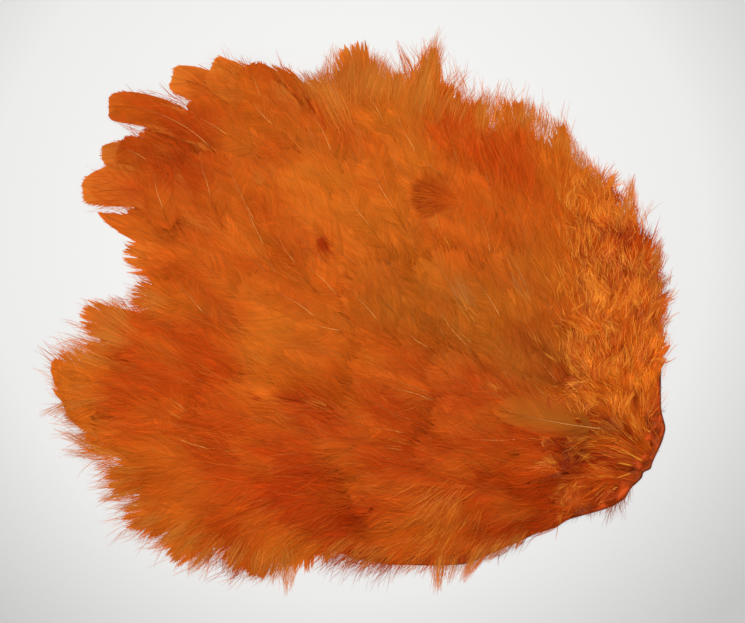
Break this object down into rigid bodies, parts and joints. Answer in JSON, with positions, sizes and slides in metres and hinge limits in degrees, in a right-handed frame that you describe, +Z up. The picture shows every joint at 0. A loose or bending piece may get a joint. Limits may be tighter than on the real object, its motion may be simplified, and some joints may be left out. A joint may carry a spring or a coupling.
{
  "type": "hen saddle hackle",
  "caption": "Dyed orange hen saddle patch: soft webby feathers lying in overlapping rows on a thin dried skin, for fly tying.",
  "frame": {"origin": "centre of the patch's outline, on the surface it lies on", "axes": "+X along the patch's long way, towards the bare head end; +Z up, out of the feathered side"},
  "size_m": [0.1628, 0.141, 0.0128],
  "materials": {
    "dried_skin": "thin dyed rawhide, wrinkled, slightly glossy",
    "rim_feather": "dyed orange feather, soft barbs with a light sheen",
    "saddle_feather": "dyed orange feather with golden and olive tints, soft barbs with a light sheen"
  },
  "bodies": {
    "root": {"rim_feather_01": "rim_feather", "rim_feather_02": "rim_feather", "rim_feather_03": "rim_feather", "rim_feather_04": "rim_feather", "rim_feather_05": "rim_feather", "rim_feather_06": "rim_feather", "rim_feather_07": "rim_feather", "rim_feather_08": "rim_feather", "rim_feather_09": "rim_feather", "rim_feather_10": "rim_feather", "rim_feather_11": "rim_feather", "rim_feather_12": "rim_feather", "rim_feather_13": "rim_feather", "rim_feather_14": "rim_feather", "rim_feather_15": "rim_feather", "rim_feather_16": "rim_feather", "rim_feather_17": "rim_feather", "rim_feather_18": "rim_feather", "rim_feather_19": "rim_feather", "rim_feather_20": "rim_feather", "rim_feather_21": "rim_feather", "rim_feather_22": "rim_feather", "rim_feather_23": "rim_feather", "rim_feather_24": "rim_feather", "rim_feather_25": "rim_feather", "rim_feather_26": "rim_feather", "rim_feather_27": "rim_feather", "rim_feather_28": "rim_feather", "rim_feather_29": "rim_feather", "rim_feather_30": "rim_feather", "row1_feather_01": "saddle_feather", "row1_feather_02": "saddle_feather", "row1_feather_03": "saddle_feather", "row1_feather_04": "saddle_feather", "row1_feather_05": "saddle_feather", "row1_feather_06": "saddle_feather", "row2_feather_01": "saddle_feather", "row2_feather_02": "saddle_feather", "row2_feather_03": "saddle_feather", "row2_feather_04": "saddle_feather", "row2_feather_05": "saddle_feather", "row2_feather_06": "saddle_feather", "row2_feather_07": "saddle_feather", "row2_feather_08": "saddle_feather", "row2_feather_09": "saddle_feather", "row2_feather_10": "saddle_feather", "row2_feather_11": "saddle_feather", "row3_feather_01": "saddle_feather", "row3_feather_02": "saddle_feather", "row3_feather_03": "saddle_feather", "row3_feather_04": "saddle_feather", "row3_feather_05": "saddle_feather", "row3_feather_06": "saddle_feather", "row3_feather_07": "saddle_feather", "row3_feather_08": "saddle_feather", "row4_feather_01": "saddle_feather", "row4_feather_02": "saddle_feather", "row4_feather_03": "saddle_feather", "row4_feather_04": "saddle_feather", "skin": "dried_skin"}
  },
  "joints": []
}
